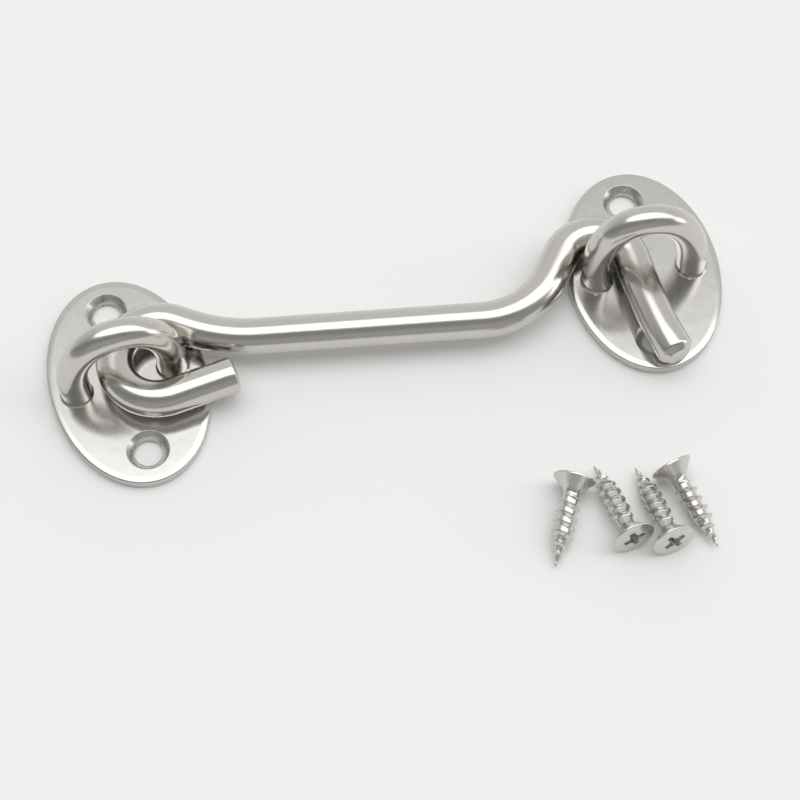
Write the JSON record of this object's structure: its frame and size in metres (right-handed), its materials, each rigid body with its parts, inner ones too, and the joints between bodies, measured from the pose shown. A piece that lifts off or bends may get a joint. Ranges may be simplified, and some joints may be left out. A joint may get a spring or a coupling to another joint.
{
  "type": "hook and eye latch",
  "caption": "Polished steel hook and eye latch: a bent round rod hooked through arches on two oval screw-on plates, with loose countersunk screws.",
  "frame": {"origin": "middle of the back face of the plate that carries the hook's eye", "axes": "+Z out of the surface the plates lie on, +X from the eye plate towards the keeper plate, +Y along the line of the eye plate's two screw holes"},
  "size_m": [0.1193, 0.0807, 0.0218],
  "materials": {
    "plate_steel": "polished stainless steel",
    "rod_steel": "polished stainless steel",
    "screw_steel": "bright stainless steel"
  },
  "bodies": {
    "keeper": {"keeper_plate": "plate_steel", "keeper_staple": "rod_steel"},
    "eye_side": {"eye_plate": "plate_steel", "eye_staple": "rod_steel"},
    "hook": {"hook": "rod_steel"},
    "screw_1": {"screw_1": "screw_steel"},
    "screw_2": {"screw_2": "screw_steel"},
    "screw_3": {"screw_3": "screw_steel"},
    "screw_4": {"screw_4": "screw_steel"}
  },
  "joints": [
    {"name": "draw_off", "type": "slide", "parent": "keeper", "child": "eye_side", "axis": [0.0593, 0.9982, 0], "range_m": [0, 0.045]},
    {"name": "hook_swing", "type": "hinge", "parent": "eye_side", "child": "hook", "pos_m": [0.008, 0.00015, 0], "axis": [0, 0, 1], "range_deg": [0, 150]},
    {"name": "pick_up_screw_1", "type": "slide", "parent": "keeper", "child": "screw_1", "axis": [0, 0, 1], "range_m": [0, 0.05]},
    {"name": "pick_up_screw_2", "type": "slide", "parent": "keeper", "child": "screw_2", "axis": [0, 0, 1], "range_m": [0, 0.05]},
    {"name": "pick_up_screw_3", "type": "slide", "parent": "keeper", "child": "screw_3", "axis": [0, 0, 1], "range_m": [0, 0.05]},
    {"name": "pick_up_screw_4", "type": "slide", "parent": "keeper", "child": "screw_4", "axis": [0, 0, 1], "range_m": [0, 0.05]}
  ]
}
